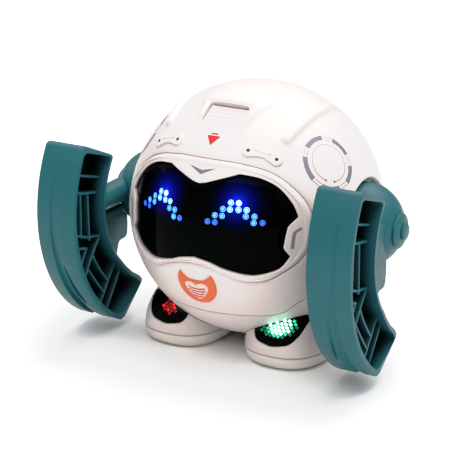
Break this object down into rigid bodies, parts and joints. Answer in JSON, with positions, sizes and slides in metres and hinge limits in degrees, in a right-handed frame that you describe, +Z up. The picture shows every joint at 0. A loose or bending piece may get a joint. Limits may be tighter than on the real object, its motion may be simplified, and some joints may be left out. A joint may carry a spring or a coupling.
{
  "type": "tumbling ball robot toy",
  "caption": "Ball-bodied toy robot with a lit smoked visor, two small feet and arc-shaped arm wheels that turn together on one cross axle to roll and tumble it.",
  "frame": {"origin": "on the floor under the middle of the bounding box, where the soles rest", "axes": "+X to the robot's left along the arm axle, -Y the way it looks, +Z up"},
  "size_m": [0.1722, 0.1368, 0.134],
  "materials": {
    "white_shell": "warm white injection-moulded ABS, satin to semi-gloss",
    "smoked_window": "smoked black acrylic, high gloss",
    "teal_plastic": "teal injection-moulded ABS, satin",
    "mouth_orange": "orange printed badge, satin",
    "sole_plastic": "warm white moulded sole, fine texture",
    "dark_plastic": "black moulded plastic",
    "circuit_board": "green solder-masked fibreglass board",
    "blue_led": "clear blue LED epoxy, lit",
    "green_led": "clear green LED epoxy, lit",
    "red_led": "clear red LED epoxy, lit",
    "steel": "zinc-plated steel",
    "nylon": "natural nylon",
    "cell_wrap": "plain dark blue cell sleeve"
  },
  "bodies": {
    "body": {"helmet_shell": "white_shell", "base_pan": "white_shell", "face_bezel": "white_shell", "vent_grille": "white_shell", "brow_plate_left": "white_shell", "brow_plate_right": "white_shell", "foot_shell_left": "white_shell", "foot_shell_right": "white_shell", "visor": "smoked_window", "foot_lens_left": "smoked_window", "foot_lens_right": "smoked_window", "mouth_badge": "mouth_orange", "foot_sole_left": "sole_plastic", "foot_sole_right": "sole_plastic", "eye_mask_left": "dark_plastic", "eye_mask_right": "dark_plastic", "gearbox_plate_left": "dark_plastic", "gearbox_plate_right": "dark_plastic", "battery_box": "dark_plastic", "speaker": "dark_plastic", "switch_body": "dark_plastic", "eye_board": "circuit_board", "main_board": "circuit_board", "foot_board_left": "circuit_board", "foot_board_right": "circuit_board", "eye_led_left": "blue_led", "eye_led_right": "blue_led", "foot_led_left": "green_led", "foot_led_right": "red_led", "second_gear_pin": "steel", "first_gear_pin": "steel", "drive_motor": "steel", "spring_contact": "steel", "flat_contact": "steel", "foot_screw_left": "steel", "foot_screw_right": "steel", "base_screw_left": "steel", "base_screw_right": "steel", "axle_bush_left": "nylon", "axle_bush_right": "nylon", "cell_1": "cell_wrap", "cell_2": "cell_wrap", "cell_3": "cell_wrap"},
    "arms": {"axle": "steel", "final_gear": "nylon", "arm_wheel_left": "teal_plastic", "arm_wheel_right": "teal_plastic", "hub_dome_left": "teal_plastic", "hub_dome_right": "teal_plastic", "hub_flange_left": "teal_plastic", "hub_flange_right": "teal_plastic", "hub_cap_left": "teal_plastic", "hub_cap_right": "teal_plastic"},
    "second_gear_body": {"second_gear": "nylon"},
    "first_gear_body": {"first_gear": "nylon"},
    "motor_shaft": {"motor_pinion": "steel"},
    "power_switch": {"switch_knob": "dark_plastic"},
    "battery_cover": {"battery_door": "white_shell", "door_screw": "steel"}
  },
  "joints": [
    {"name": "arm_spin", "type": "hinge", "parent": "body", "child": "arms", "pos_m": [0, 0.00345, 0.069], "axis": [1, 0, 0], "continuous": true},
    {"name": "second_gear_spin", "type": "hinge", "parent": "body", "child": "second_gear_body", "pos_m": [0, 0.00135, 0.04906], "axis": [1, 0, 0], "continuous": true},
    {"name": "first_gear_spin", "type": "hinge", "parent": "body", "child": "first_gear_body", "pos_m": [0, -0.0112, 0.04321], "axis": [1, 0, 0], "continuous": true},
    {"name": "motor_spin", "type": "hinge", "parent": "body", "child": "motor_shaft", "pos_m": [0, -0.02033, 0.04848], "axis": [1, 0, 0], "continuous": true},
    {"name": "power_slide", "type": "slide", "parent": "body", "child": "power_switch", "axis": [1, 0, 0], "range_m": [-0.004, 0]},
    {"name": "battery_door_slide", "type": "slide", "parent": "body", "child": "battery_cover", "axis": [0, 1, 0], "range_m": [0, 0.03]}
  ],
  "couplings": [
    {"joint": "second_gear_spin", "follows": "arm_spin", "ratio": -3.1667},
    {"joint": "first_gear_spin", "follows": "arm_spin", "ratio": 8.9722},
    {"joint": "motor_spin", "follows": "arm_spin", "ratio": -28.711}
  ]
}
